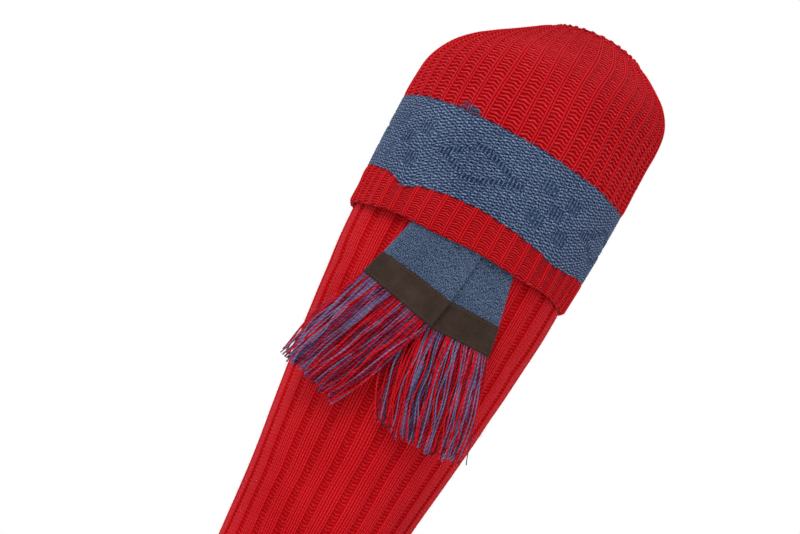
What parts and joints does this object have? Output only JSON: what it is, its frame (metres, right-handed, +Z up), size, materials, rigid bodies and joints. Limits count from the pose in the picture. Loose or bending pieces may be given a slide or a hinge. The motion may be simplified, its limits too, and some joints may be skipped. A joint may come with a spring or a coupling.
{
  "type": "ribbed knee sock with a garter flash",
  "caption": "Ribbed red wool knee stocking with a turnover cuff, a blue band and a fringed garter flash, standing open and hollow as if worn.",
  "frame": {"origin": "on the leg's axis at the garter strap, where a leg holds the sock up", "axes": "+Z up the leg to the rim, -Y out of the side that carries the flash, +X towards the toe"},
  "size_m": [0.2647, 0.1192, 0.4547],
  "materials": {
    "red_wool": "ribbed knitted wool, fine and slightly fuzzy",
    "blue_wool": "marled denim blue wool in reverse stocking stitch",
    "blue_tape": "marled blue knitted tape",
    "brown_suede": "dark brown suede strip, stitched near both edges",
    "fringe_yarn": "loose red and blue-violet yarn ends",
    "elastic": "woven blue garter elastic"
  },
  "bodies": {
    "root": {"leg": "red_wool", "leg_top": "red_wool", "foot": "red_wool", "cuff_upper": "red_wool", "cuff_band": "blue_wool", "cuff_hem": "red_wool", "garter_strap": "elastic", "tail_left": "blue_tape", "tail_right": "blue_tape", "strip_left": "brown_suede", "strip_right": "brown_suede", "fringe_left": "fringe_yarn", "fringe_right": "fringe_yarn"}
  },
  "joints": []
}
